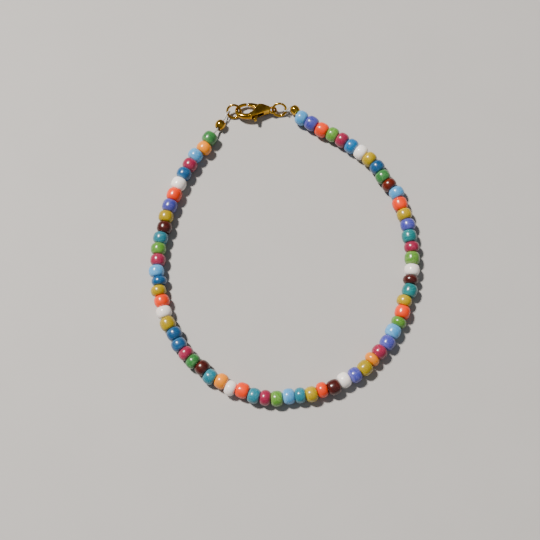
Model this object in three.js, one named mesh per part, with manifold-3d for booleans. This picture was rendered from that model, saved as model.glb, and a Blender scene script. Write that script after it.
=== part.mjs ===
// A beaded anklet, closed by a small lobster clasp and laid flat on the plane z = 0.
// Millimetres, +Z up. The origin is under the middle of the loop and the clasp is at the +Y side.
import * as THREE from 'three';
import { mergeVertices } from 'three/addons/utils/BufferGeometryUtils.js';
import Module from 'manifold-3d';

// Beads
const beadRadius = 2.2;
const boreRadius = 0.65;
const beadLengths = { slim: 2.6, short: 2.95, regular: 3.25, long: 3.55 };
const beadFaceRadius = 1.05;
const beadShoulder = { radius: 1.86, rise: 0.66 };
const beadMouthRise = 0.93;
const beadGap = 0.2;
const strandOverlap = 0.14;
const beadSides = 10;

// Thread
const threadRadius = 0.2;
const threadSpread = 0.26;
const threadEase = 0.8;

// Crimp balls
const crimpBoreRadius = 0.78;
const crimpFaceRadius = 0.95;
const crimpSides = 12;

// Jump rings
const ringRadius = 1.92;
const ringWireRadius = 0.3;
const ringCut = 0.08;

// Clasp, in its own flat frame: u runs from the hook's end to the eye, v across, w through it
const hookThickness = 1.05;
const bodyThickness = 2.6;
const slotThickness = 1.3;
const leverThickness = 0.9;
const pivot = { u: 7.0, v: 0.6 };
const pinRadius = 0.35;
const pinClearance = 0.15;
const hubRadius = 0.95;
const leverReach = 3.5;
const tipClearance = 0.25;
const bevels = { hook: 0.25, body: 0.4, lever: 0.15 };
const eye = { u: 11.05, v: 0.1, radius: 0.95, wire: 0.36 };
const claspPlace = { x: -14.4, y: 42.1, z: 1.78, roll: -0.21 };

const colours = {
  green: '#4e9e5c', leaf: '#6fb052', amber: '#ffa000', white: '#ebe4e0', orange: '#ff5a10', yellow: '#bfb030',
  pink: '#c24663', blue: '#2a7db4', cerulean: '#3a97cd', sky: '#8abde0', periwinkle: '#6068c3',
  turquoise: '#3f97ac', teal: '#2b9090', maroon: '#4b1a16', chestnut: '#642a16',
};

// The middle line of the bead string, from the first bead by the left crimp round to the last
const routePoints = [
  [-21.5, 33], [-27, 25], [-31.5, 16], [-34.5, 6], [-35.5, -4], [-35, -12.5], [-32, -22], [-27, -30],
  [-20.5, -36.5], [-11.5, -41], [-2, -42.5], [7, -41.5], [16, -38], [24, -32], [30, -24.5], [33.5, -16],
  [35.5, -6.5], [35.5, 3], [33, 13], [28.5, 21.5], [22, 28.5], [14, 34], [4.5, 39.3],
];

// Each bead in turn: its glass, its length, and how far it sits to the left of the middle line
const beadChart = [
  ['green', 'long', -0.1], ['amber', 'regular', 0.4], ['sky', 'regular', -0.3], ['pink', 'regular', 0],
  ['blue', 'regular', -0.1], ['white', 'long', 0], ['orange', 'long', 0.2], ['periwinkle', 'long', 0.2],
  ['yellow', 'regular', 0.2], ['maroon', 'regular', 0.6], ['turquoise', 'regular', 0.1],
  ['leaf', 'regular', -0.1], ['pink', 'regular', 0], ['sky', 'regular', -0.3], ['blue', 'slim', 0.4],
  ['yellow', 'short', -0.1], ['orange', 'regular', 0.2], ['white', 'regular', -0.1],
  ['yellow', 'long', -0.3], ['blue', 'regular', 0.1],

  ['blue', 'regular', -0.4], ['pink', 'short', -0.3], ['green', 'short', -0.2], ['maroon', 'regular', 0.4],
  ['turquoise', 'regular', -0.2], ['amber', 'regular', 0.4], ['white', 'short', -0.2],
  ['orange', 'long', 0.4], ['turquoise', 'regular', -0.2],
  ['pink', 'short', -0.3], ['leaf', 'regular', -0.3], ['sky', 'regular', 0.3], ['turquoise', 'short', 0.2],
  ['yellow', 'regular', -0.1], ['orange', 'short', 0.2], ['maroon', 'long', -0.3], ['white', 'regular', 0.2],
  ['periwinkle', 'regular', -0.2],
  ['yellow', 'long', -0.3], ['amber', 'slim', 0.2], ['pink', 'regular', 0.1], ['periwinkle', 'long', 0],
  ['sky', 'long', 0.4], ['leaf', 'slim', 0.1], ['orange', 'long', 0.1], ['yellow', 'short', 0.5],
  ['teal', 'long', -0.3],

  ['maroon', 'slim', 0], ['white', 'regular', -0.1], ['leaf', 'long', 0], ['pink', 'short', 0],
  ['teal', 'long', 0.3], ['periwinkle', 'regular', 0], ['yellow', 'regular', 0.1], ['orange', 'long', 0.2],
  ['sky', 'regular', -0.4], ['chestnut', 'short', 0.3], ['green', 'regular', 0.4], ['blue', 'regular', -0.2],
  ['yellow', 'regular', -0.3], ['white', 'regular', -0.2], ['cerulean', 'regular', -0.1],
  ['pink', 'regular', -0.2], ['leaf', 'regular', -0.2], ['orange', 'long', 0.1],
  ['periwinkle', 'long', -0.3], ['sky', 'regular', -0.4],
].map(([glass, length, aside]) => ({ glass, length, aside }));

// Beads joined along their thread, by the numbers of their first and last bead
const strands = [
  { name: 'strand_a', first: 21, last: 29, colour: '#7f8fa0' },
  { name: 'strand_b', first: 30, last: 38, colour: '#b0826a' },
  { name: 'strand_c', first: 39, last: 47, colour: '#a79a5c' },
];

// Where the hardware sits: middles of the crimps and rings, and the way that the thread runs there
const leftCrimp = { x: -18.6, y: 37.6, z: 1.52, heading: 1.02, radius: 1.5, halfLength: 1.3, ringSide: 1 };
const rightCrimp = { x: 3.2, y: 42.25, z: 1.52, heading: -0.95, radius: 1.4, halfLength: 1.2, ringSide: -1 };
const leftRing = { x: -14.68, y: 41.75, z: 1.72, tilt: 0.72, cutAt: 2.2 };
const rightRing = { x: -1.35, y: 42.25, z: 1.86, tilt: 0.86, cutAt: 1.3 };

// Where the thread goes round each ring: the ring's angle there, the turn's heading, reach and height, and
// how far it leans towards -Y
const leftTurn = { at: 3.48, heading: 0.75, reach: 0.88, rise: 0.78, lean: 0 };
const rightTurn = { at: -0.06, heading: 3.05, reach: 0.78, rise: 0.8, lean: 0.75 };
const turnSteps = 6;

const wasm = await Module();
wasm.setup();

function toSolid(geometry) {
  const bare = geometry.index ? geometry.toNonIndexed() : geometry.clone();
  bare.deleteAttribute('normal');
  bare.deleteAttribute('uv');
  const merged = mergeVertices(bare, 1e-5);
  return new wasm.Manifold(new wasm.Mesh({
    numProp: 3,
    vertProperties: new Float32Array(merged.attributes.position.array),
    triVerts: new Uint32Array(merged.index.array),
  }));
}

function toGeometry(solid) {
  const { vertProperties, triVerts } = solid.getMesh();
  const geometry = new THREE.BufferGeometry();
  geometry.setAttribute('position', new THREE.BufferAttribute(vertProperties, 3));
  geometry.setIndex(new THREE.BufferAttribute(triVerts, 1));
  geometry.computeVertexNormals();
  return geometry;
}

const glass = (colour) => new THREE.MeshStandardMaterial({ color: colour, roughness: 0.12, metalness: 0 });
const gold = () => new THREE.MeshStandardMaterial({ color: '#c9a04a', roughness: 0.2, metalness: 1 });
const nylon = () => new THREE.MeshStandardMaterial({ color: '#e8e8e4', roughness: 0.15, metalness: 0 });

const anklet = new THREE.Group();

function addPiece(name, geometry, material) {
  const mesh = new THREE.Mesh(geometry, material);
  mesh.name = name;
  anklet.add(mesh);
  return mesh;
}

// Bead string: each bead's middle and heading

const route = new THREE.CatmullRomCurve3(
  routePoints.map(([x, y]) => new THREE.Vector3(x, y, beadRadius)), false, 'catmullrom', 0.5);
route.arcLengthDivisions = 2000;
const routeLength = route.getLength();

function strungBeads() {
  let along = 0;
  const beads = beadChart.map((row, i) => {
    const length = beadLengths[row.length];
    if (i > 0) along += (beadLengths[beadChart[i - 1].length] + length) / 2;
    const at = along / routeLength;
    const tangent = route.getTangentAt(at);
    const left = new THREE.Vector3(-tangent.y, tangent.x, 0);
    const middle = route.getPointAt(at).addScaledVector(left, row.aside);
    const strung = route.getPointAt(at).addScaledVector(left, row.aside * threadEase);
    return { ...row, length, middle, strung, tangent };
  });
  beads.forEach((bead, i) => {
    const before = beads[i - 1] ?? bead;
    const after = beads[i + 1] ?? bead;
    const line = i === 0 || i === beads.length - 1 ? bead.tangent : after.middle.clone().sub(before.middle);
    bead.heading = Math.atan2(line.y, line.x);
  });
  return beads;
}

// A bead's section turned round its bore: rounded shoulders, fullest round its waist
function beadGeometry(length) {
  const half = length / 2;
  const mouth = beadMouthRise * half;
  const shoulder = beadShoulder.rise * half;
  const profile = [
    [boreRadius, -mouth], [beadFaceRadius, -half], [beadShoulder.radius, -shoulder], [beadRadius, 0],
    [beadShoulder.radius, shoulder], [beadFaceRadius, half], [boreRadius, mouth], [boreRadius, -mouth],
  ].map(([r, h]) => new THREE.Vector2(r, h));
  return new THREE.LatheGeometry(profile, beadSides);
}

function placeAlong(object, middle, heading) {
  object.position.copy(middle);
  object.rotation.z = heading - Math.PI / 2;
}

const beads = strungBeads();
const beadName = (number) => `bead_${String(number).padStart(2, '0')}`;
const inStrand = (number) => strands.some(({ first, last }) => number >= first && number <= last);

beads.forEach((bead, i) => {
  if (inStrand(i + 1)) return;
  const mesh = addPiece(beadName(i + 1), beadGeometry(bead.length - beadGap), glass(colours[bead.glass]));
  placeAlong(mesh, bead.middle, bead.heading);
});

for (const { name, first, last, colour } of strands) {
  let joined = null;
  for (const [i, bead] of beads.slice(first - 1, last).entries()) {
    const atEnd = i === 0 || i === last - first;
    const holder = new THREE.Object3D();
    placeAlong(holder, bead.middle, bead.heading);
    const length = bead.length + (atEnd ? 0 : strandOverlap);
    const geometry = beadGeometry(length);
    if (atEnd) {
      // an end bead reaches its neighbour inside the strand and keeps the gap to the one outside
      const shift = (i === 0 ? 1 : -1) * (strandOverlap + beadGap) / 4;
      geometry.scale(1, (bead.length + (strandOverlap - beadGap) / 2) / bead.length, 1);
      geometry.translate(0, shift, 0);
    }
    holder.updateMatrix();
    geometry.applyMatrix4(holder.matrix);
    const solid = toSolid(geometry);
    joined = joined ? joined.add(solid) : solid;
  }
  addPiece(name, toGeometry(joined), glass(colour));
}

// Crimp balls

// A ball with a flat face round each end of its bore
function crimpGeometry({ radius, halfLength }) {
  const steps = 6;
  const limit = Math.acos(crimpFaceRadius / radius);
  const profile = [new THREE.Vector2(crimpBoreRadius, -halfLength)];
  for (let i = 0; i <= steps; i += 1) {
    const angle = limit * ((2 * i) / steps - 1);
    profile.push(new THREE.Vector2(radius * Math.cos(angle), halfLength * (Math.sin(angle) / Math.sin(limit))));
  }
  profile.push(new THREE.Vector2(crimpBoreRadius, halfLength), profile[0].clone());
  return new THREE.LatheGeometry(profile, crimpSides);
}

for (const [name, crimp] of [['crimp_left', leftCrimp], ['crimp_right', rightCrimp]]) {
  const mesh = addPiece(name, crimpGeometry(crimp), gold());
  placeAlong(mesh, new THREE.Vector3(crimp.x, crimp.y, crimp.z), crimp.heading);
}

// Jump rings: round wire with the fine cut where it is closed, tilted about the X direction

function ringPoint(ring, angle) {
  const across = ringRadius * Math.sin(angle);
  return new THREE.Vector3(ring.x + ringRadius * Math.cos(angle), ring.y + across * Math.cos(ring.tilt),
    ring.z + across * Math.sin(ring.tilt));
}

function roundSection(radius, sides) {
  const section = new THREE.Shape();
  for (let i = 0; i < sides; i += 1) {
    const angle = (2 * Math.PI * i) / sides;
    const [x, y] = [radius * Math.cos(angle), radius * Math.sin(angle)];
    if (i === 0) section.moveTo(x, y);
    else section.lineTo(x, y);
  }
  section.closePath();
  return section;
}

// A round tube with one ring of its skin at each point of its path
function tubeGeometry(points, radius, sides) {
  const path = new THREE.CatmullRomCurve3(points, false, 'centripetal');
  path.getUtoTmapping = (u) => u;
  return new THREE.ExtrudeGeometry(roundSection(radius, sides),
    { steps: points.length - 1, extrudePath: path, curveSegments: 1 });
}

function ringGeometry(ring) {
  const steps = 16;
  const halfCut = ringCut / ringRadius / 2;
  const points = [];
  for (let i = 0; i <= steps; i += 1) {
    points.push(ringPoint(ring, ring.cutAt + halfCut + (2 * (Math.PI - halfCut) * i) / steps));
  }
  return tubeGeometry(points, ringWireRadius, 8);
}

addPiece('jump_ring_left', ringGeometry(leftRing), gold());
addPiece('jump_ring_right', ringGeometry(rightRing), gold());

// Thread: from its tail in the second bead, round the left ring, through every bead, round the right
// ring and back to its tail. Where it is doubled the two passes lie one above the other.

const towards = (heading) => new THREE.Vector3(Math.cos(heading), Math.sin(heading), 0);
const lifted = (point, height) => point.clone().add(new THREE.Vector3(0, 0, height));

// The thread's way through a crimp, from the beads' side to the ring's side
function crimpPass(crimp, side) {
  const outward = towards(crimp.heading).multiplyScalar(crimp.halfLength * crimp.ringSide);
  return [-1.2, 1.2].map((f) => new THREE.Vector3(crimp.x, crimp.y, crimp.z + side * threadSpread)
    .addScaledVector(outward, f));
}

// The thread's way through the two end beads and out of the last one's bore
function endPass(pair, side, outwardSign) {
  const end = pair[pair.length - 1];
  const mouth = end.middle.clone().addScaledVector(towards(end.heading), outwardSign * (end.length / 2 + 0.2));
  return [...pair.map(({ middle }) => middle), mouth].map((point) => lifted(point, side * threadSpread));
}

// Half a turn round the ring's wire, from below it to above it
function turnPoints(ring, turn) {
  const middle = ringPoint(ring, turn.at);
  const out = towards(turn.heading);
  const up = new THREE.Vector3(0, -Math.sin(turn.lean), Math.cos(turn.lean));
  const points = [];
  for (let i = 0; i <= turnSteps; i += 1) {
    const angle = -Math.PI / 2 + (Math.PI * i) / turnSteps;
    points.push(middle.clone().addScaledVector(out, turn.reach * Math.cos(angle))
      .addScaledVector(up, turn.rise * Math.sin(angle)));
  }
  return points;
}

const leftPair = [beads[1], beads[0]];
const rightPair = beads.slice(-2);
const threadPoints = [
  ...endPass(leftPair, -1, -1),
  ...crimpPass(leftCrimp, -1),
  ...turnPoints(leftRing, leftTurn),
  ...crimpPass(leftCrimp, 1).reverse(),
  ...endPass(leftPair, 1, -1).reverse(),
  ...beads.slice(2, -2).map(({ strung }) => strung),
  ...endPass(rightPair, 1, 1),
  ...crimpPass(rightCrimp, 1),
  ...turnPoints(rightRing, rightTurn).reverse(),
  ...crimpPass(rightCrimp, -1).reverse(),
  ...endPass(rightPair, -1, 1).reverse(),
];
addPiece('thread', tubeGeometry(threadPoints, threadRadius, 8), nylon());

// Clasp

const flat = ([u, v]) => new THREE.Vector2(u, v);

// A plate of the given outline, centred on w = 0
function plate(outline, thickness, bevel) {
  const geometry = new THREE.ExtrudeGeometry(outline, {
    depth: thickness - 2 * bevel, bevelEnabled: bevel > 0, bevelThickness: bevel, bevelSize: bevel,
    bevelOffset: -bevel, bevelSegments: 1, curveSegments: 2,
  });
  geometry.translate(0, 0, bevel - thickness / 2);
  return toSolid(geometry);
}

function disc(radius, thickness, sides) {
  const geometry = new THREE.CylinderGeometry(radius, radius, thickness, sides);
  geometry.rotateX(Math.PI / 2);
  geometry.translate(pivot.u, pivot.v, 0);
  return toSolid(geometry);
}

function hookOutline() {
  const outline = new THREE.Shape();
  outline.moveTo(3.9, 2.45);
  outline.splineThru([[2.3, 2.3], [0.9, 1.45], [0.1, 0], [0.4, -1.4], [1.6, -2.5], [3.2, -2.95], [4.8, -2.8],
    [6.2, -2.2]].map(flat));
  outline.lineTo(6.6, -0.9);
  outline.splineThru([[5.2, -1.1], [4, -1.4], [2.6, -1.4], [1.35, -0.95], [1.05, -0.2],
    [1.15, 0.5], [1.75, 1.15], [2.7, 1.5], [3.9, 1.6]].map(flat));
  outline.closePath();
  return outline;
}

function bodyOutline() {
  return new THREE.Shape([[6.5, 1.4], [5.7, -0.1], [5.1, -0.95], [4.3, -1.6], [4.3, -2.75], [5.8, -2.4],
    [7.5, -1.65], [9.2, -0.9], [10.3, -0.5], [10.3, 0.65], [9.3, 1.15], [8.4, 1.55], [7.3, 1.75]].map(flat));
}

// The lever's room between the body's two cheeks, as far as it swings
function slotOutline() {
  return new THREE.Shape([[4.35, -0.75], [4.35, 3.2], [8.1, 3.2], [8.35, 0.6], [8.7, -3.9], [4.9, -3.9],
    [5.15, -1.7], [5.6, -0.75]].map(flat));
}

function eyeSolid() {
  const geometry = new THREE.TorusGeometry(eye.radius, eye.wire, 8, 16);
  geometry.translate(eye.u, eye.v, 0);
  return toSolid(geometry);
}

function claspBody() {
  const lowerSide = new THREE.Shape([[4.2, -4], [9, -4], [9, 1.6], [6.2, 1.6], [4.2, -0.95]].map(flat));
  const tipCut = disc(leverReach + tipClearance, hookThickness + 1, 48)
    .subtract(plate(lowerSide, hookThickness + 2, 0));
  return plate(hookOutline(), hookThickness, bevels.hook)
    .subtract(tipCut)
    .add(plate(bodyOutline(), bodyThickness, bevels.body))
    .add(eyeSolid())
    .subtract(plate(slotOutline(), slotThickness, 0))
    .subtract(disc(pinRadius + pinClearance, bodyThickness + 1, 12));
}

// The lever: its gate lies against the hook's tip, and its thumb nub stands out on the other side
function claspLever() {
  const gate = new THREE.Shape([[3.2, 2.4], [5, 2.42], [6.6, 2.05], [7.8, 1.1], [6.6, -0.25], [6, 0.7],
    [5, 1.35], [3.2, 1.6]].map(flat));
  const nub = new THREE.Shape([[7.5, 0], [6.5, -0.2], [5.65, -1.6], [5.5, -3.4], [5.75, -3.9], [6.3, -3.9],
    [6.55, -3.4], [6.9, -1.6], [7.75, 0]].map(flat));
  return plate(gate, leverThickness, bevels.lever)
    .intersect(disc(leverReach, leverThickness + 1, 48))
    .add(plate(nub, leverThickness, bevels.lever))
    .add(disc(hubRadius, leverThickness, 16))
    .subtract(disc(pinRadius + pinClearance, leverThickness + 1, 12));
}

const clasp = new THREE.Group();
clasp.position.set(claspPlace.x, claspPlace.y, claspPlace.z);
clasp.rotation.x = claspPlace.roll;
anklet.add(clasp);

const pin = new THREE.CylinderGeometry(pinRadius, pinRadius, bodyThickness - 0.1, 12);
pin.rotateX(Math.PI / 2);
pin.translate(pivot.u, pivot.v, 0);

clasp.add(addPiece('clasp_body', toGeometry(claspBody()), gold()));
clasp.add(addPiece('clasp_lever', toGeometry(claspLever()), gold()));
clasp.add(addPiece('clasp_pin', pin, gold()));

export default anklet;
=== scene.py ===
import math

import bmesh
import bpy
from mathutils import Matrix, Vector


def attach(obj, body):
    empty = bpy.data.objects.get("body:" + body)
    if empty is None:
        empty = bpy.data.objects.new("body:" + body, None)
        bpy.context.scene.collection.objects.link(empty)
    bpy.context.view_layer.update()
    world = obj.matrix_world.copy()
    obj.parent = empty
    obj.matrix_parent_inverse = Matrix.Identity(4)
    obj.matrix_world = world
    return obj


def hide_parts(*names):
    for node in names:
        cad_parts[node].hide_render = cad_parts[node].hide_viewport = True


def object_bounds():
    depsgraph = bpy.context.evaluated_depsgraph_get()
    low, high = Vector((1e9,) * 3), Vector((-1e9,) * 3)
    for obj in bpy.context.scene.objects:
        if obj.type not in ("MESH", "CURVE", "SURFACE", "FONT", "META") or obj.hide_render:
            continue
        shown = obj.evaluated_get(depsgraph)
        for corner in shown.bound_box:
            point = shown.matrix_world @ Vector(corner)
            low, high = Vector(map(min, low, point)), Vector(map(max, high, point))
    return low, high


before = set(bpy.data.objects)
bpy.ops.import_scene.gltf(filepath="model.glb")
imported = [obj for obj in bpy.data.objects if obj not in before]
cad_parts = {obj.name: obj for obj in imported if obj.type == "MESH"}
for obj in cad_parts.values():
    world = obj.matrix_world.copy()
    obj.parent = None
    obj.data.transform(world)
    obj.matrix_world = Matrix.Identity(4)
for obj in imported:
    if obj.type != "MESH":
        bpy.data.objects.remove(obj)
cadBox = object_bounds()
mm = 0.001


# helpers for node trees

def newTree(name, kind, inputs, outputs):
    tree = bpy.data.node_groups.new(name, kind)
    for label, socketType, value in inputs:
        socket = tree.interface.new_socket(name=label, in_out="INPUT", socket_type=socketType)
        if value is not None:
            socket.default_value = value
    for label, socketType in outputs:
        tree.interface.new_socket(name=label, in_out="OUTPUT", socket_type=socketType)
    return tree


def add(tree, kind, inputs=None, **settings):
    node = tree.nodes.new(kind)
    for label, value in settings.items():
        setattr(node, label, value)
    for key, value in (inputs or {}).items():
        if isinstance(value, bpy.types.NodeSocket):
            tree.links.new(value, node.inputs[key])
        else:
            node.inputs[key].default_value = value
    return node


def calc(tree, operation, *values):
    node = add(tree, "ShaderNodeMath", dict(enumerate(values)), operation=operation)
    return node.outputs[0]


def fade(tree, value, low, high, toLow=0.0, toHigh=1.0):
    node = add(tree, "ShaderNodeMapRange", {"Value": value, "From Min": low, "From Max": high,
                                            "To Min": toLow, "To Max": toHigh},
               interpolation_type="SMOOTHSTEP")
    return node.outputs["Result"]


def blendColour(tree, amount, first, second):
    node = add(tree, "ShaderNodeMix", data_type="RGBA")
    for index, value in ((0, amount), (6, first), (7, second)):
        if isinstance(value, bpy.types.NodeSocket):
            tree.links.new(value, node.inputs[index])
        else:
            node.inputs[index].default_value = value
    return node.outputs[2]


def noise(tree, place, scale, detail):
    return add(tree, "ShaderNodeTexNoise", {"Vector": place, "Scale": scale, "Detail": detail}).outputs[0]


def fromHex(text):
    parts = [int(text[i:i + 2], 16) / 255 for i in (1, 3, 5)]
    return [c / 12.92 if c <= 0.04045 else ((c + 0.055) / 1.055) ** 2.4 for c in parts] + [1.0]


# a point of the smooth curve from b to c, where a and d are the points beyond them
def curvePoint(a, b, c, d, t):
    return 0.5 * (2 * b + (c - a) * t + (2 * a - 5 * b + 4 * c - d) * t ** 2
                  + (3 * b - a - 3 * c + d) * t ** 3)


# the points with one more beyond each end, straight on
def withEnds(points):
    return [2 * points[0] - points[1]] + points + [2 * points[-1] - points[-2]]


# the mesh that a Geometry Nodes tree makes from its values, and from a source if it takes one
def grow(name, tree, values, source=None):
    seed = bpy.data.objects.new(name + "Seed", source or bpy.data.meshes.new(name + "Seed"))
    bpy.context.scene.collection.objects.link(seed)
    modifier = seed.modifiers.new("grow", "NODES")
    modifier.node_group = tree
    sockets = {s.name: s.identifier for s in tree.interface.items_tree if s.in_out == "INPUT"}
    for label, value in values.items():
        modifier[sockets[label]] = value
    made = seed.evaluated_get(bpy.context.evaluated_depsgraph_get())
    mesh = bpy.data.meshes.new_from_object(made)
    mesh.name = name
    bpy.data.objects.remove(seed)
    return mesh


def stand(name, mesh, body, slot, *nodes):
    piece = bpy.data.objects.new(name, mesh)
    bpy.context.scene.collection.objects.link(piece)
    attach(piece, body)
    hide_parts(*nodes)
    return piece


# glass

glassFinish = {
    "green": {"body": "#2e7538", "pale": "#6faa6a", "milk": 0.1, "pearl": 0.1},
    "leaf": {"body": "#548e2c", "pale": "#8bb160", "milk": 0.12, "pearl": 0.12},
    "amber": {"body": "#f78e00", "pale": "#f79800", "milk": 0.0, "pearl": 0.0},
    "white": {"body": "#f7efeb", "pale": "#f7f7f7", "milk": 0.25, "pearl": 0.02},
    "orange": {"body": "#f33c00", "pale": "#f74600", "milk": 0.0, "pearl": 0.0},
    "yellow": {"body": "#ab9206", "pale": "#c7b213", "milk": 0.3, "pearl": 0.03},
    "pink": {"body": "#921b40", "pale": "#af4967", "milk": 0.1, "pearl": 0.12},
    "blue": {"body": "#114c7e", "pale": "#417ba3", "milk": 0.05, "pearl": 0.14},
    "cerulean": {"body": "#166ead", "pale": "#4f97c6", "milk": 0.1, "pearl": 0.14},
    "sky": {"body": "#459ad7", "pale": "#7dbbe5", "milk": 0.12, "pearl": 0.15},
    "periwinkle": {"body": "#3e419f", "pale": "#726ebc", "milk": 0.1, "pearl": 0.14},
    "turquoise": {"body": "#197489", "pale": "#559ca9", "milk": 0.1, "pearl": 0.15},
    "teal": {"body": "#0b6e73", "pale": "#409898", "milk": 0.1, "pearl": 0.15},
    "maroon": {"body": "#3f0d09", "pale": "#6a251b", "milk": 0.03, "pearl": 0.08},
    "chestnut": {"body": "#5d1403", "pale": "#863211", "milk": 0.05, "pearl": 0.05},
}


# noise scales are per metre, distances metres, and a fade is given as from, to and then its two values
woundLook = {
    "windings": (260, 1900, 260), "beadScale": 170.0, "beadShift": 40.0, "distortion": 0.6,
    "fineScale": 2600.0,
    "paintedSheenFade": (0.0007, 0.0018), "veilFade": (0.42, 0.72), "shadeFade": (0.3, 0.7, 0.86, 1.1),
    "speckFade": (0.35, 0.7, 0.95, 1.04), "roughness": 0.2, "streakRoughness": 0.14,
    "streakHeight": 0.5, "fineHeight": 0.04,
}
glassSurface = {
    "ior": 1.52, "bump": 0.08, "leastStreaksAndSheen": 0.2, "streaksAndSheenPerPearl": 2, "milkDepth": 0.0009,
    "milkSpread": (1.0, 0.8, 0.6), "coat": 0.25, "coatRoughness": 0.12,
    "sheenRoughness": 0.35, "sheenTint": (0.9, 0.95, 1.0, 1.0),
}
bumpDepth = 0.00002


# streaky bands wound round the bore, paler towards the ends as a painted pearly sheen, and each bead a little
# lighter or darker
def glassGroup():
    look = woundLook
    tree = newTree("woundGlass", "ShaderNodeTree", [
        ("Body", "NodeSocketColor", (0.5, 0.5, 0.5, 1)),
        ("Pale", "NodeSocketColor", (0.8, 0.8, 0.8, 1)),
        ("Streaks", "NodeSocketFloat", 0.5),
    ], [("Colour", "NodeSocketColor"), ("Roughness", "NodeSocketFloat"), ("Height", "NodeSocketFloat")])
    given = add(tree, "NodeGroupInput").outputs
    own = add(tree, "ShaderNodeAttribute", attribute_name="beadPlace").outputs["Vector"]
    place = add(tree, "ShaderNodeTexCoord").outputs["Object"]

    wound = add(tree, "ShaderNodeMapping", {"Vector": own, "Scale": look["windings"]}).outputs[0]
    along = calc(tree, "ABSOLUTE", add(tree, "ShaderNodeSeparateXYZ", {0: own}).outputs["Y"])
    bead = noise(tree, place, look["beadScale"], 1.0)
    streak = add(tree, "ShaderNodeTexNoise", {
        "Vector": wound, "W": calc(tree, "MULTIPLY", bead, look["beadShift"]),
        "Scale": 1.0, "Detail": 4.0, "Distortion": look["distortion"],
    }, noise_dimensions="4D").outputs[0]
    fine = noise(tree, place, look["fineScale"], 3.0)

    # paler towards the bead ends: a painted pearly sheen, as strong as the streak amount
    ends = calc(tree, "MULTIPLY", fade(tree, along, *look["paintedSheenFade"]), given["Streaks"])
    veil = calc(tree, "MULTIPLY", fade(tree, streak, *look["veilFade"]), given["Streaks"])
    pale = calc(tree, "MINIMUM", calc(tree, "ADD", veil, ends), 1.0)
    colour = blendColour(tree, pale, given["Body"], given["Pale"])
    shade = fade(tree, bead, *look["shadeFade"])
    speck = fade(tree, fine, *look["speckFade"])
    value = calc(tree, "MULTIPLY", shade, speck)
    lit = add(tree, "ShaderNodeHueSaturation", {"Color": colour, "Value": value})
    roughness = calc(tree, "ADD", look["roughness"], calc(tree, "MULTIPLY", look["streakRoughness"], streak))
    height = calc(tree, "ADD", calc(tree, "MULTIPLY", look["streakHeight"], streak),
                  calc(tree, "MULTIPLY", look["fineHeight"], fine))
    add(tree, "NodeGroupOutput", {"Colour": lit.outputs[0], "Roughness": roughness, "Height": height})
    return tree


woundGlass = glassGroup()


def newMaterial(name):
    material = bpy.data.materials.new(name)
    material.use_nodes = True
    tree = material.node_tree
    tree.nodes.clear()
    shader = add(tree, "ShaderNodeBsdfPrincipled")
    add(tree, "ShaderNodeOutputMaterial", {"Surface": shader.outputs[0]})
    return material, tree, shader


def glassMaterial(name, finish):
    material, tree, shader = newMaterial("glass_" + name)
    glass = add(tree, "ShaderNodeGroup", node_tree=woundGlass)
    glass.inputs["Body"].default_value = fromHex(finish["body"])
    glass.inputs["Pale"].default_value = fromHex(finish["pale"])
    # one amount sets both the streaky veil and the painted pearly sheen at the ends
    streaksAndSheen = glassSurface["leastStreaksAndSheen"] + glassSurface["streaksAndSheenPerPearl"] * finish["pearl"]
    glass.inputs["Streaks"].default_value = streaksAndSheen
    bump = add(tree, "ShaderNodeBump", {"Height": glass.outputs["Height"], "Strength": glassSurface["bump"],
                                        "Distance": bumpDepth})
    tree.links.new(glass.outputs["Colour"], shader.inputs["Base Color"])
    tree.links.new(glass.outputs["Roughness"], shader.inputs["Roughness"])
    tree.links.new(bump.outputs[0], shader.inputs["Normal"])
    shader.inputs["IOR"].default_value = glassSurface["ior"]
    shader.inputs["Subsurface Weight"].default_value = finish["milk"]
    shader.inputs["Subsurface Radius"].default_value = glassSurface["milkSpread"]
    shader.inputs["Subsurface Scale"].default_value = glassSurface["milkDepth"]
    shader.inputs["Coat Weight"].default_value = glassSurface["coat"]
    shader.inputs["Coat Roughness"].default_value = glassSurface["coatRoughness"]
    shader.inputs["Sheen Weight"].default_value = finish["pearl"]
    shader.inputs["Sheen Roughness"].default_value = glassSurface["sheenRoughness"]
    shader.inputs["Sheen Tint"].default_value = glassSurface["sheenTint"]
    return material


glasses = {name: glassMaterial(name, finish) for name, finish in glassFinish.items()}
print("glass mixed:", len(glasses))


# gold and nylon

goldFinish = {
    "bright": "#e0b03c", "deep": "#a87a1c", "roughness": 0.1, "wear": 0.1, "bump": 0.2,
    "cloudScale": 420.0, "cloudFade": (0.35, 0.65), "rubScale": 3800.0, "rubFade": (0.4, 0.75),
}


def goldMaterial(finish):
    material, tree, shader = newMaterial("polishedGold")
    place = add(tree, "ShaderNodeTexCoord").outputs["Object"]
    cloud = fade(tree, noise(tree, place, finish["cloudScale"], 3.0), *finish["cloudFade"])
    rub = noise(tree, place, finish["rubScale"], 4.0)
    colour = blendColour(tree, cloud, fromHex(finish["bright"]), fromHex(finish["deep"]))
    worn = calc(tree, "MULTIPLY", finish["wear"], fade(tree, rub, *finish["rubFade"]))
    roughness = calc(tree, "ADD", finish["roughness"], worn)
    bump = add(tree, "ShaderNodeBump", {"Height": rub, "Strength": finish["bump"], "Distance": bumpDepth})
    tree.links.new(colour, shader.inputs["Base Color"])
    tree.links.new(roughness, shader.inputs["Roughness"])
    tree.links.new(bump.outputs[0], shader.inputs["Normal"])
    shader.inputs["Metallic"].default_value = 1.0
    return material


nylonFinish = {
    "colour": "#dfe2e0", "haze": (0.75, 0.76, 0.74, 1), "hazeScale": 1500.0, "hazeFade": (0.3, 0.7),
    "roughness": 0.1, "hazeRoughness": 0.1, "clear": 0.55, "ior": 1.53,
}


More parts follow.
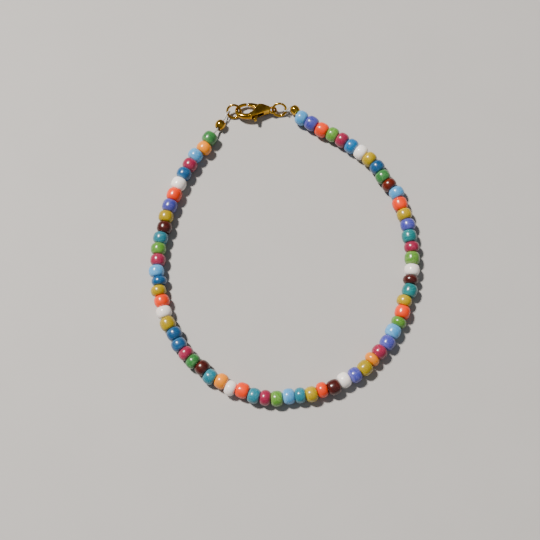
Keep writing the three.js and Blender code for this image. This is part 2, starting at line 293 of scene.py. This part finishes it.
def nylonMaterial(finish):
    material, tree, shader = newMaterial("clearNylon")
    place = add(tree, "ShaderNodeTexCoord").outputs["Object"]
    haze = noise(tree, place, finish["hazeScale"], 2.0)
    dull = fade(tree, haze, *finish["hazeFade"])
    colour = blendColour(tree, dull, fromHex(finish["colour"]), finish["haze"])
    roughness = calc(tree, "ADD", finish["roughness"], calc(tree, "MULTIPLY", finish["hazeRoughness"], haze))
    tree.links.new(colour, shader.inputs["Base Color"])
    tree.links.new(roughness, shader.inputs["Roughness"])
    shader.inputs["IOR"].default_value = finish["ior"]
    shader.inputs["Transmission Weight"].default_value = finish["clear"]
    return material


polishedGold = goldMaterial(goldFinish)
clearNylon = nylonMaterial(nylonFinish)


# beads

beadMould = {"sectionSteps": 41, "turnSteps": 57, "boreSquareness": 6.0, "weldDistance": 0.000001,
             "swellScale": 260.0}


# A section that is round outside and straight in the bore, turned round the Y axis
def beadFormTree():
    tree = newTree("beadForm", "GeometryNodeTree", [
        ("Outer Radius", "NodeSocketFloat", 0.0022),
        ("Bore Radius", "NodeSocketFloat", 0.00065),
        ("Lip", "NodeSocketFloat", 0.0003),
        ("Length", "NodeSocketFloat", 0.003),
        ("Shoulder", "NodeSocketFloat", 2.3),
        ("Unevenness", "NodeSocketFloat", 0.0),
        ("Seed", "NodeSocketInt", 0),
        ("Material", "NodeSocketMaterial", None),
    ], [("Geometry", "NodeSocketGeometry")])
    given = add(tree, "NodeGroupInput").outputs
    grid = add(tree, "GeometryNodeMeshGrid", {
        "Vertices X": beadMould["sectionSteps"], "Vertices Y": beadMould["turnSteps"],
    })
    flat = add(tree, "ShaderNodeSeparateXYZ", {0: grid.outputs["UV Map"]}).outputs
    section = calc(tree, "MULTIPLY", flat["X"], math.tau)
    turn = calc(tree, "MULTIPLY", flat["Y"], math.tau)
    out = calc(tree, "COSINE", section)
    up = calc(tree, "SINE", section)
    outside = calc(tree, "GREATER_THAN", out, 0.0)
    bore = beadMould["boreSquareness"]
    change = calc(tree, "MULTIPLY", outside, calc(tree, "SUBTRACT", given["Shoulder"], bore))
    squareness = calc(tree, "ADD", bore, change)
    power = calc(tree, "DIVIDE", 2.0, squareness)

    def rounded(value):
        size = calc(tree, "POWER", calc(tree, "ABSOLUTE", value), power)
        return calc(tree, "MULTIPLY", calc(tree, "SIGN", value), size)

    crown = calc(tree, "ADD", given["Bore Radius"], given["Lip"])
    wall = calc(tree, "SUBTRACT", given["Outer Radius"], crown)
    reach = calc(tree, "ADD", given["Lip"],
                 calc(tree, "MULTIPLY", outside, calc(tree, "SUBTRACT", wall, given["Lip"])))
    radius = calc(tree, "ADD", crown, calc(tree, "MULTIPLY", reach, rounded(out)))
    height = calc(tree, "MULTIPLY", calc(tree, "MULTIPLY", given["Length"], 0.5), rounded(up))
    placed = add(tree, "ShaderNodeCombineXYZ", {
        "X": calc(tree, "MULTIPLY", radius, calc(tree, "COSINE", turn)),
        "Y": height,
        "Z": calc(tree, "MULTIPLY", radius, calc(tree, "SINE", turn)),
    }).outputs[0]
    named = add(tree, "GeometryNodeStoreNamedAttribute", {
        "Geometry": grid.outputs["Mesh"], "Name": "UVMap", "Value": grid.outputs["UV Map"],
    }, data_type="FLOAT2", domain="CORNER")
    turned = add(tree, "GeometryNodeSetPosition", {"Geometry": named.outputs[0], "Position": placed})
    joined = add(tree, "GeometryNodeMergeByDistance", {"Geometry": turned.outputs[0],
                                                       "Distance": beadMould["weldDistance"]})

    position = add(tree, "GeometryNodeInputPosition").outputs[0]
    lumps = add(tree, "ShaderNodeTexNoise", {
        "Vector": position, "W": given["Seed"], "Scale": beadMould["swellScale"], "Detail": 1.0,
    }, noise_dimensions="4D").outputs[0]
    swell = calc(tree, "ADD", 1.0, calc(tree, "MULTIPLY", given["Unevenness"],
                                        calc(tree, "SUBTRACT", lumps, 0.5)))
    moved = add(tree, "ShaderNodeVectorMath", {0: position, "Scale": swell}, operation="SCALE").outputs[0]
    uneven = add(tree, "GeometryNodeSetPosition", {"Geometry": joined.outputs[0], "Position": moved})
    kept = add(tree, "GeometryNodeStoreNamedAttribute", {
        "Geometry": uneven.outputs[0], "Name": "beadPlace",
        "Value": add(tree, "GeometryNodeInputPosition").outputs[0],
    }, data_type="FLOAT_VECTOR", domain="POINT")
    smooth = add(tree, "GeometryNodeSetShadeSmooth", {"Geometry": kept.outputs[0]})
    real = add(tree, "GeometryNodeRealizeInstances", {"Geometry": smooth.outputs[0]})
    painted = add(tree, "GeometryNodeSetMaterial", {"Geometry": real.outputs[0],
                                                    "Material": given["Material"]})
    add(tree, "NodeGroupOutput", {0: painted.outputs[0]})
    return tree


beadString = {
    "radius": 2.17, "bore": 0.65, "lip": 0.32, "gap": 0.03, "unevenness": 0.045, "turnStep": 2.4,
    "threadShare": 0.8,                     # how much of a bead's offset the thread follows
    "rows": {
        "slim": {"length": 2.6, "shoulder": 2.1},
        "short": {"length": 2.95, "shoulder": 2.2},
        "regular": {"length": 3.25, "shoulder": 2.3},
        "long": {"length": 3.55, "shoulder": 2.4},
    },
    # the middle line of the string, mm, from the bead by the left crimp round to the last
    "route": [
        (-21.5, 33), (-27, 25), (-31.5, 16), (-34.5, 6), (-35.5, -4), (-35, -12.5), (-32, -22), (-27, -30),
        (-20.5, -36.5), (-11.5, -41), (-2, -42.5), (7, -41.5), (16, -38), (24, -32), (30, -24.5), (33.5, -16),
        (35.5, -6.5), (35.5, 3), (33, 13), (28.5, 21.5), (22, 28.5), (14, 34), (4.5, 39.3),
    ],
    # each bead's glass, length and how far it sits to the left of that line
    "beads": [
        ("green", "long", -0.1), ("amber", "regular", 0.4), ("sky", "regular", -0.3), ("pink", "regular", 0),
        ("blue", "regular", -0.1), ("white", "long", 0), ("orange", "long", 0.2), ("periwinkle", "long", 0.2),
        ("yellow", "regular", 0.2), ("maroon", "regular", 0.6), ("turquoise", "regular", 0.1),
        ("leaf", "regular", -0.1), ("pink", "regular", 0), ("sky", "regular", -0.3), ("blue", "slim", 0.4),
        ("yellow", "short", -0.1), ("orange", "regular", 0.2), ("white", "regular", -0.1),
        ("yellow", "long", -0.3), ("blue", "regular", 0.1),
        ("blue", "regular", -0.4), ("pink", "short", -0.3), ("green", "short", -0.2),
        ("maroon", "regular", 0.4), ("turquoise", "regular", -0.2), ("amber", "regular", 0.4),
        ("white", "short", -0.2),
        ("orange", "long", 0.4), ("turquoise", "regular", -0.2),
        ("pink", "short", -0.3), ("leaf", "regular", -0.3), ("sky", "regular", 0.3),
        ("turquoise", "short", 0.2), ("yellow", "regular", -0.1), ("orange", "short", 0.2),
        ("maroon", "long", -0.3),
        ("white", "regular", 0.2), ("periwinkle", "regular", -0.2),
        ("yellow", "long", -0.3), ("amber", "slim", 0.2), ("pink", "regular", 0.1), ("periwinkle", "long", 0),
        ("sky", "long", 0.4), ("leaf", "slim", 0.1), ("orange", "long", 0.1), ("yellow", "short", 0.5),
        ("teal", "long", -0.3),
        ("maroon", "slim", 0), ("white", "regular", -0.1), ("leaf", "long", 0), ("pink", "short", 0),
        ("teal", "long", 0.3), ("periwinkle", "regular", 0), ("yellow", "regular", 0.1),
        ("orange", "long", 0.2), ("sky", "regular", -0.4), ("chestnut", "short", 0.3),
        ("green", "regular", 0.4), ("blue", "regular", -0.2), ("yellow", "regular", -0.3),
        ("white", "regular", -0.2), ("cerulean", "regular", -0.1), ("pink", "regular", -0.2),
        ("leaf", "regular", -0.2), ("orange", "long", 0.1), ("periwinkle", "long", -0.3),
        ("sky", "regular", -0.4),
    ],
    "strands": {"strand_a": (21, 29), "strand_b": (30, 38), "strand_c": (39, 47)},
}


# a smooth line through the route's points, as (distance along, point, direction)
def routeLine(points, perSpan=60):
    knots = withEnds([Vector((x, y, 0)) for x, y in points])
    line = []
    walked = 0.0
    for a, b, c, d in zip(knots, knots[1:], knots[2:], knots[3:]):
        for step in range(perSpan + 1):
            if step == 0 and line:
                continue
            t = step / perSpan
            point = curvePoint(a, b, c, d, t)
            slope = (c - a) + 2 * (2 * a - 5 * b + 4 * c - d) * t + 3 * (3 * b - a - 3 * c + d) * t ** 2
            walked += (point - line[-1][1]).length if line else 0.0
            line.append((walked, point, slope.normalized()))
    return line


def lineAt(line, distance):
    for before, after in zip(line, line[1:]):
        if after[0] >= distance:
            share = (distance - before[0]) / (after[0] - before[0])
            return before[1].lerp(after[1], share), before[2].lerp(after[2], share).normalized()
    return line[-1][1], line[-1][2]


# where each bead sits: its middle and the way that its bore points, mm
def threadBeads(string):
    line = routeLine(string["route"])
    beads = []
    along = 0.0
    for glass, row, aside in string["beads"]:
        length = string["rows"][row]["length"]
        if beads:
            along += (beads[-1]["length"] + length) / 2
        point, direction = lineAt(line, along)
        left = Vector((-direction.y, direction.x, 0))
        beads.append({"glass": glass, "row": row, "length": length, "direction": direction,
                      "middle": point + aside * left,
                      "strung": point + string["threadShare"] * aside * left})
    for before, bead, after in zip(beads, beads[1:], beads[2:]):
        bead["direction"] = after["middle"] - before["middle"]
    for bead in beads:
        bead["heading"] = math.atan2(bead["direction"].y, bead["direction"].x)
    return beads


def placeAlong(mesh, middle, heading, turn=0.0):
    mesh.transform(Matrix.Translation(middle) @ Matrix.Rotation(heading - math.pi / 2, 4, "Z")
                   @ Matrix.Rotation(turn, 4, "Y"))


beadForm = beadFormTree()
beads = threadBeads(beadString)
beadRise = 2.2                              # height of the string's middle line, mm
for number, bead in enumerate(beads, 1):
    row = beadString["rows"][bead["row"]]
    mesh = grow(f"bead_{number:02d}", beadForm, {
        "Outer Radius": beadString["radius"] * mm, "Bore Radius": beadString["bore"] * mm,
        "Lip": beadString["lip"] * mm, "Length": (bead["length"] - beadString["gap"]) * mm,
        "Shoulder": row["shoulder"], "Unevenness": beadString["unevenness"], "Seed": number,
        "Material": glasses[bead["glass"]],
    })
    middle = Vector((bead["middle"].x, bead["middle"].y, beadRise)) * mm
    placeAlong(mesh, middle, bead["heading"], beadString["turnStep"] * number)
    strand = [name for name, (first, last) in beadString["strands"].items() if first <= number <= last]
    node = strand[0] if strand else f"bead_{number:02d}"
    stand(f"glassBead_{number:02d}", mesh, "anklet", "glass_" + bead["glass"], node)
print("beads strung:", len(beads))


# crimp balls, jump rings and thread

crimps = {
    "left": {"x": -18.6, "y": 37.6, "z": 1.52, "heading": 1.02, "half": 1.3, "ringSide": 1, "radius": 1.5},
    "right": {"x": 3.2, "y": 42.25, "z": 1.52, "heading": -0.95, "half": 1.2, "ringSide": -1, "radius": 1.4},
    "bore": 0.78, "lip": 0.12, "shoulder": 1.65, "unevenness": 0.02, "seed": 90,
}
for side in ("left", "right"):
    crimp = crimps[side]
    mesh = grow("crimpBall_" + side, beadForm, {
        "Outer Radius": crimp["radius"] * mm, "Bore Radius": crimps["bore"] * mm, "Lip": crimps["lip"] * mm,
        "Length": 2 * crimp["half"] * mm, "Shoulder": crimps["shoulder"],
        "Unevenness": crimps["unevenness"], "Seed": crimps["seed"], "Material": polishedGold,
    })
    placeAlong(mesh, Vector((crimp["x"], crimp["y"], crimp["z"])) * mm, crimp["heading"])
    stand("crimpBall_" + side, mesh, "anklet", "gold", "crimp_" + side)


# round wire along a curve, with closed ends
def roundWireTree():
    tree = newTree("roundWire", "GeometryNodeTree", [
        ("Geometry", "NodeSocketGeometry", None),
        ("Radius", "NodeSocketFloat", 0.0002),
        ("Spacing", "NodeSocketFloat", 0.0002),
        ("Sides", "NodeSocketInt", 20),
        ("Material", "NodeSocketMaterial", None),
    ], [("Geometry", "NodeSocketGeometry")])
    given = add(tree, "NodeGroupInput").outputs
    eased = add(tree, "GeometryNodeCurveSplineType", {"Curve": given["Geometry"]}, spline_type="CATMULL_ROM")
    finer = add(tree, "GeometryNodeSetSplineResolution", {0: eased.outputs[0], "Resolution": 12})
    even = add(tree, "GeometryNodeResampleCurve", {"Curve": finer.outputs[0], "Length": given["Spacing"]},
               mode="LENGTH")
    section = add(tree, "GeometryNodeCurvePrimitiveCircle", {"Resolution": given["Sides"],
                                                             "Radius": given["Radius"]})
    drawn = add(tree, "GeometryNodeCurveToMesh", {
        "Curve": even.outputs[0], "Profile Curve": section.outputs["Curve"], "Fill Caps": True,
    })
    smooth = add(tree, "GeometryNodeSetShadeSmooth", {"Geometry": drawn.outputs[0]})
    real = add(tree, "GeometryNodeRealizeInstances", {"Geometry": smooth.outputs[0]})
    painted = add(tree, "GeometryNodeSetMaterial", {"Geometry": real.outputs[0],
                                                    "Material": given["Material"]})
    add(tree, "NodeGroupOutput", {0: painted.outputs[0]})
    return tree


def curveThrough(name, points):
    curve = bpy.data.curves.new(name, "CURVE")
    curve.dimensions = "3D"
    spline = curve.splines.new("POLY")
    spline.points.add(len(points) - 1)
    for slot, point in zip(spline.points, points):
        slot.co = (*(point * mm), 1.0)
    return curve


roundWire = roundWireTree()

rings = {
    "left": {"x": -14.68, "y": 41.75, "z": 1.72, "tilt": 0.72, "cutAt": 2.2},
    "right": {"x": -1.35, "y": 42.25, "z": 1.86, "tilt": 0.86, "cutAt": 1.3},
    "radius": 1.92, "wire": 0.35, "cut": 0.08, "steps": 72, "spacing": 0.12, "sides": 28, "crease": 50,
}


def ringPoint(ring, angle):
    across = rings["radius"] * math.sin(angle)
    return Vector((ring["x"] + rings["radius"] * math.cos(angle), ring["y"] + across * math.cos(ring["tilt"]),
                   ring["z"] + across * math.sin(ring["tilt"])))


for side in ("left", "right"):
    ring = rings[side]
    halfCut = rings["cut"] / rings["radius"] / 2
    wayRound = 2 * (math.pi - halfCut)
    turns = [ring["cutAt"] + halfCut + wayRound * step / rings["steps"] for step in range(rings["steps"] + 1)]
    mesh = grow("jumpRing_" + side, roundWire, {
        "Radius": rings["wire"] * mm, "Spacing": rings["spacing"] * mm, "Sides": rings["sides"],
        "Material": polishedGold,
    }, curveThrough("ringLine_" + side, [ringPoint(ring, angle) for angle in turns]))
    mesh.set_sharp_from_angle(angle=math.radians(rings["crease"]))
    stand("jumpRing_" + side, mesh, "anklet", "gold", "jump_ring_" + side)

thread = {
    "radius": 0.2, "spread": 0.26, "turnSteps": 6, "spacing": 0.3, "sides": 14,
    "crimpReach": 1.2, "mouthReach": 0.2,
    "leftTurn": {"at": 3.48, "heading": 0.75, "reach": 0.88, "rise": 0.78, "lean": 0.0},
    "rightTurn": {"at": -0.06, "heading": 3.05, "reach": 0.78, "rise": 0.8, "lean": 0.75},
}


def towards(heading, distance):
    return Vector((math.cos(heading), math.sin(heading), 0)) * distance


# the two passes lie one above the other inside the crimps and the end beads
def crimpPass(crimp, side):
    middle = Vector((crimp["x"], crimp["y"], crimp["z"] + side * thread["spread"]))
    out = towards(crimp["heading"], thread["crimpReach"] * crimp["half"] * crimp["ringSide"])
    return [middle - out, middle + out]


def endPass(pair, side, outward):
    last = pair[-1]
    mouth = last["middle"] + towards(last["heading"], outward * (last["length"] / 2 + thread["mouthReach"]))
    lift = Vector((0, 0, beadRise + side * thread["spread"]))
    return [point + lift for point in (pair[0]["middle"], last["middle"], mouth)]


def ringTurn(ring, turn):
    middle = ringPoint(ring, turn["at"])
    up = Vector((0, -math.sin(turn["lean"]), math.cos(turn["lean"])))
    points = []
    for step in range(thread["turnSteps"] + 1):
        angle = -math.pi / 2 + math.pi * step / thread["turnSteps"]
        points.append(middle + towards(turn["heading"], turn["reach"] * math.cos(angle))
                      + up * turn["rise"] * math.sin(angle))
    return points


def threadPoints():
    leftPair = [beads[1], beads[0]]
    rightPair = beads[-2:]
    rise = Vector((0, 0, beadRise))
    return (endPass(leftPair, -1, -1) + crimpPass(crimps["left"], -1)
            + ringTurn(rings["left"], thread["leftTurn"]) + crimpPass(crimps["left"], 1)[::-1]
            + endPass(leftPair, 1, -1)[::-1] + [bead["strung"] + rise for bead in beads[2:-2]]
            + endPass(rightPair, 1, 1) + crimpPass(crimps["right"], 1)
            + ringTurn(rings["right"], thread["rightTurn"])[::-1] + crimpPass(crimps["right"], -1)[::-1]
            + endPass(rightPair, -1, 1)[::-1])


mesh = grow("nylonThread", roundWire, {
    "Radius": thread["radius"] * mm, "Spacing": thread["spacing"] * mm, "Sides": thread["sides"],
    "Material": clearNylon,
}, curveThrough("threadLine", threadPoints()))
stand("nylonThread", mesh, "anklet", "nylon", "thread")
print("thread, rings and crimps in place")


# clasp, made in its own flat frame in mm and then turned into place

clasp = {
    "place": (-14.4, 42.1, 1.78), "roll": -0.21, "pivot": (7.0, 0.6), "pin": 0.35, "pinClearance": 0.15,
    "pinDome": 0.12, "pinShort": 0.1, "pinToolLength": 4, "crease": 42,
    "eye": {"u": 11.05, "v": 0.1, "radius": 0.95, "wire": 0.36, "turns": 48, "sides": 20},
    "body": 2.6, "bodyEdge": 0.45, "slot": 1.3, "lever": 0.9, "leverEdge": 0.18,
    "bodyCast": {"voxel": 0.07, "rounds": 6}, "leverCast": {"voxel": 0.05, "rounds": 4},
    # the hook's middle line from its tip: u, v, width across, thickness
    "hook": [
        (3.5, 2.02, 0.8, 0.95), (2.5, 1.88, 0.86, 1.05), (1.33, 1.3, 0.92, 1.1), (0.66, 0.4, 1.0, 1.1),
        (0.58, -0.5, 1.05, 1.1), (1.0, -1.42, 1.15, 1.2), (2.1, -2.02, 1.4, 1.6), (3.4, -2.2, 1.55, 1.95),
        (4.7, -2.1, 1.6, 2.2), (6.1, -1.6, 1.4, 2.3),
    ],
    "bodyOutline": [
        (6.55, 1.2), (6.1, 0.45), (5.6, -0.35), (5.0, -1.05), (4.3, -1.55), (4.0, -2.2), (4.5, -2.75),
        (5.8, -2.35), (7.5, -1.6), (9.2, -0.9), (10.3, -0.5), (10.3, 0.65), (9.3, 1.15), (8.4, 1.55),
        (7.5, 1.7), (6.9, 1.6),
    ],
    "slotOutline": [
        (4.35, -0.75), (4.35, 3.2), (8.1, 3.2), (8.35, 0.6), (8.7, -3.9), (4.9, -3.9), (5.15, -1.7),
        (5.6, -0.75),
    ],
}


def newPiece(name, bm):
    mesh = bpy.data.meshes.new(name)
    bm.to_mesh(mesh)
    bm.free()
    piece = bpy.data.objects.new(name, mesh)
    bpy.context.scene.collection.objects.link(piece)
    return piece


def applied(piece):
    mesh = bpy.data.meshes.new_from_object(piece.evaluated_get(bpy.context.evaluated_depsgraph_get()))
    old = piece.data
    piece.modifiers.clear()
    piece.data = mesh
    bpy.data.meshes.remove(old)
    return piece


# a round bar whose width and thickness change along its line
def sweptBar(bm, stations, sides=28, perSpan=8, square=2.4):
    smooth = []
    knots = withEnds([Vector(s) for s in stations])
    for a, b, c, d in zip(knots, knots[1:], knots[2:], knots[3:]):
        for step in range(perSpan):
            smooth.append(curvePoint(a, b, c, d, step / perSpan))
    smooth.append(knots[-2])
    loops = []
    for index, station in enumerate(smooth):
        before = smooth[max(index - 1, 0)]
        after = smooth[min(index + 1, len(smooth) - 1)]
        along = Vector((after[0] - before[0], after[1] - before[1], 0)).normalized()
        across = Vector((-along.y, along.x, 0))
        loop = []
        for side in range(sides):
            angle = math.tau * side / sides
            x, z = math.cos(angle), math.sin(angle)
            x = math.copysign(abs(x) ** (2 / square), x) * station[2] / 2
            z = math.copysign(abs(z) ** (2 / square), z) * station[3] / 2
            loop.append(bm.verts.new(Vector((station[0], station[1], z)) + across * x))
        loops.append(loop)
    for one, two in zip(loops, loops[1:]):
        for i in range(sides):
            bm.faces.new((one[i], one[(i + 1) % sides], two[(i + 1) % sides], two[i]))
    bm.faces.new(loops[0][::-1])
    bm.faces.new(loops[-1])


def plate(outline, thickness, bevel, name):
    bm = bmesh.new()
    face = bm.faces.new([bm.verts.new((u, v, -thickness / 2)) for u, v in outline])
    grown = bmesh.ops.extrude_face_region(bm, geom=[face])
    lifted = [v for v in grown["geom"] if isinstance(v, bmesh.types.BMVert)]
    bmesh.ops.translate(bm, verts=lifted, vec=(0, 0, thickness))
    bmesh.ops.recalc_face_normals(bm, faces=bm.faces)
    piece = newPiece(name, bm)
    if bevel:
        edge = piece.modifiers.new("edge", "BEVEL")
        edge.width = bevel
        edge.segments = 4
        edge.limit_method = "ANGLE"
        edge.angle_limit = math.radians(50)
        applied(piece)
    return piece


def roundBar(name, u, v, radius, length, sides=48):
    bm = bmesh.new()
    bmesh.ops.create_cone(bm, cap_ends=True, segments=sides, radius1=radius, radius2=radius, depth=length,
                          matrix=Matrix.Translation((u, v, 0)))
    return newPiece(name, bm)


def eased(outline, steps=6):
    points = [Vector(p) for p in outline]
    count = len(points)
    curve = []
    for i in range(count):
        a, b, c, d = (points[(i + k) % count] for k in (-1, 0, 1, 2))
        for step in range(steps):
            curve.append(curvePoint(a, b, c, d, step / steps))
    return curve


def weld(parts, name, voxel, rounds):
    bm = bmesh.new()
    for part in parts:
        bm.from_mesh(part.data)
        bpy.data.objects.remove(part)
    piece = newPiece(name, bm)
    cast = piece.modifiers.new("cast", "REMESH")
    cast.mode = "VOXEL"
    cast.voxel_size = voxel
    ease = piece.modifiers.new("ease", "SMOOTH")
    ease.factor = 0.5
    ease.iterations = rounds
    return applied(piece)


def cut(piece, tool):
    bite = piece.modifiers.new("bite", "BOOLEAN")
    bite.operation = "DIFFERENCE"
    bite.solver = "EXACT"
    bite.object = tool
    applied(piece)
    bpy.data.objects.remove(tool)
    return piece


def eyeRing(eye):
    bm = bmesh.new()
    sections = []
    for turn in range(eye["turns"]):
        angle = math.tau * turn / eye["turns"]
        out = Vector((math.cos(angle), math.sin(angle), 0))
        section = []
        for side in range(eye["sides"]):
            around = math.tau * side / eye["sides"]
            reach = out * (eye["radius"] + eye["wire"] * math.cos(around))
            rise = Vector((0, 0, eye["wire"] * math.sin(around)))
            section.append(bm.verts.new(Vector((eye["u"], eye["v"], 0)) + reach + rise))
        sections.append(section)
    for one, two in zip(sections, sections[1:] + sections[:1]):
        for side in range(eye["sides"]):
            after = (side + 1) % eye["sides"]
            bm.faces.new((one[side], two[side], two[after], one[after]))
    bmesh.ops.recalc_face_normals(bm, faces=bm.faces)
    return newPiece("eyeRing", bm)


def claspCasting():
    bm = bmesh.new()
    sweptBar(bm, clasp["hook"])
    hook = newPiece("hookBar", bm)
    body = plate(eased(clasp["bodyOutline"]), clasp["body"], clasp["bodyEdge"], "bodyPlate")
    casting = weld([hook, body, eyeRing(clasp["eye"])], "claspBody", **clasp["bodyCast"])
    cut(casting, plate(clasp["slotOutline"], clasp["slot"], 0, "slotTool"))
    return casting


leverOutline = {
    "gate": [(3.95, 2.42), (5, 2.42), (6.6, 2.05), (7.8, 1.1), (6.6, -0.25), (6, 0.7), (5, 1.35), (3.65, 1.6),
             (3.72, 2.0)],
    "nub": [(7.5, 0), (6.5, -0.2), (5.65, -1.6), (5.6, -3.3), (6.45, -3.3), (6.9, -1.6), (7.75, 0)],
    "hub": 0.95, "knob": (6.03, -3.4, 0.5),
}


def claspLever():
    gate = plate(leverOutline["gate"], clasp["lever"], clasp["leverEdge"], "gatePlate")
    nub = plate(leverOutline["nub"], clasp["lever"], clasp["leverEdge"], "nubPlate")
    pivot = clasp["pivot"]
    hub = roundBar("hubDisc", *pivot, leverOutline["hub"], clasp["lever"])
    bm = bmesh.new()
    u, v, radius = leverOutline["knob"]
    bmesh.ops.create_uvsphere(bm, u_segments=32, v_segments=20, radius=radius,
                              matrix=Matrix.Translation((u, v, 0)))
    knob = newPiece("knobBall", bm)
    lever = weld([gate, nub, hub, knob], "claspLever", **clasp["leverCast"])
    cut(lever, roundBar("pinTool", *pivot, clasp["pin"] + clasp["pinClearance"], clasp["pinToolLength"]))
    return lever


def settle(piece, name, body, node):
    mesh = piece.data
    mesh.transform(Matrix.Scale(mm, 4) @ Matrix.Translation(clasp["place"])
                   @ Matrix.Rotation(clasp["roll"], 4, "X"))
    mesh.name = name
    mesh.materials.clear()
    mesh.materials.append(polishedGold)
    mesh.shade_smooth()
    mesh.set_sharp_from_angle(angle=math.radians(clasp["crease"]))
    bpy.data.objects.remove(piece)
    stand(name, mesh, body, "gold", node)


settle(claspCasting(), "claspBody", "anklet", "clasp_body")
settle(claspLever(), "claspLever", "lever", "clasp_lever")
pin = roundBar("pinBar", *clasp["pivot"], clasp["pin"], clasp["body"] - clasp["pinShort"])
dome = pin.modifiers.new("dome", "BEVEL")
dome.width = clasp["pinDome"]
dome.segments = 3
settle(applied(pin), "claspPin", "anklet", "clasp_pin")
print("clasp cast")


# floor, light and camera

paleFloor = {"half": 0.6, "one": (0.43, 0.422, 0.414, 1), "two": (0.46, 0.452, 0.444, 1), "grainScale": 60.0,
             "roughness": 0.6}


def floorPlane():
    bm = bmesh.new()
    bmesh.ops.create_grid(bm, x_segments=1, y_segments=1, size=paleFloor["half"])
    floor = newPiece("floor", bm)
    material, tree, shader = newMaterial("paleFloor")
    place = add(tree, "ShaderNodeTexCoord").outputs["Object"]
    grain = noise(tree, place, paleFloor["grainScale"], 5.0)
    colour = blendColour(tree, grain, paleFloor["one"], paleFloor["two"])
    tree.links.new(colour, shader.inputs["Base Color"])
    shader.inputs["Roughness"].default_value = paleFloor["roughness"]
    floor.data.materials.append(material)


studio = {
    "key": {"from": (-1.1, 0.82, 2.1), "size": 0.28, "power": 128, "colour": (1.0, 0.94, 0.87)},
    "fill": {"from": (0.3, -0.5, 0.9), "size": 1.6, "power": 1.2, "colour": (0.95, 0.97, 1.0)},
}
room = {"colour": (0.62, 0.64, 0.67, 1), "strength": 0.22}


def studioLights():
    for name, setting in studio.items():
        lamp = bpy.data.lights.new(name, "AREA")
        lamp.size = setting["size"]
        lamp.energy = setting["power"]
        lamp.color = setting["colour"]
        light = bpy.data.objects.new(name, lamp)
        bpy.context.scene.collection.objects.link(light)
        light.location = setting["from"]
        light.rotation_euler = (-Vector(setting["from"])).to_track_quat("-Z", "Y").to_euler()
    world = bpy.data.worlds.new("studio")
    world.use_nodes = True
    bpy.context.scene.world = world
    sky = world.node_tree.nodes["Background"]
    sky.inputs["Color"].default_value = room["colour"]
    sky.inputs["Strength"].default_value = room["strength"]


view = {"aside": (-4.06, -5.84), "distance": 300, "elevation": 74, "lens": 71, "sensor": 36, "near": 10}


def viewCamera():
    middle = (Vector(cadBox[0]) + Vector(cadBox[1])) / 2
    target = Vector((middle.x, middle.y, 0)) + Vector((*view["aside"], 0)) * mm
    angle = math.radians(view["elevation"])
    offset = Vector((0, -math.cos(angle), math.sin(angle))) * view["distance"] * mm
    lens = bpy.data.cameras.new("camera")
    lens.lens = view["lens"]
    lens.sensor_width = view["sensor"]
    lens.clip_start = view["near"] * mm
    camera = bpy.data.objects.new("camera", lens)
    bpy.context.scene.collection.objects.link(camera)
    camera.location = target + offset
    camera.rotation_euler = (-offset).to_track_quat("-Z", "Y").to_euler()
    bpy.context.scene.camera = camera


floorPlane()
studioLights()
viewCamera()
print("floor, light and camera set")
